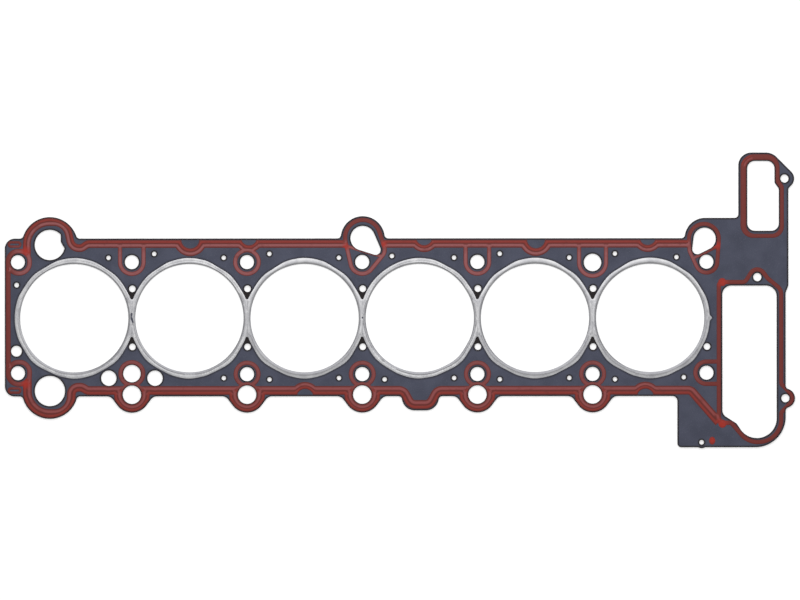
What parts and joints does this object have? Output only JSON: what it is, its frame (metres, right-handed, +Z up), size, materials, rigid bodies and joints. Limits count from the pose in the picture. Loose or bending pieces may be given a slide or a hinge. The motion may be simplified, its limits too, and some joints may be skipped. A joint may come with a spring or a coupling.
{
  "type": "cylinder head gasket",
  "caption": "Flat gasket for a straight-six engine head: soft dark facing on a steel core, folded metal fire rings round the bores and a printed red sealing bead round oil and chain openings.",
  "frame": {"origin": "middle of the bore row, half way between the inner head bolts, on the block face", "axes": "+X along the bore row towards the timing chain, +Y towards the side with the tensioner slot, +Z up from the block face to the head face"},
  "size_m": [0.6242, 0.2336, 0.002],
  "materials": {
    "facing": "matt",
    "core_steel": "satin",
    "ring_steel": "satin",
    "bead": "satin"
  },
  "bodies": {
    "root": {"core_plate": "core_steel", "facing_top": "facing", "facing_bottom": "facing", "fire_ring_1": "ring_steel", "fire_ring_2": "ring_steel", "fire_ring_3": "ring_steel", "fire_ring_4": "ring_steel", "fire_ring_5": "ring_steel", "fire_ring_6": "ring_steel", "perimeter_bead_top": "bead", "slot_bead_top": "bead", "upper_lug_bead_top": "bead", "lower_lug_bead_top": "bead", "spot_bead_top": "bead", "perimeter_bead_bottom": "bead", "slot_bead_bottom": "bead", "upper_lug_bead_bottom": "bead", "lower_lug_bead_bottom": "bead", "spot_bead_bottom": "bead"}
  },
  "joints": []
}
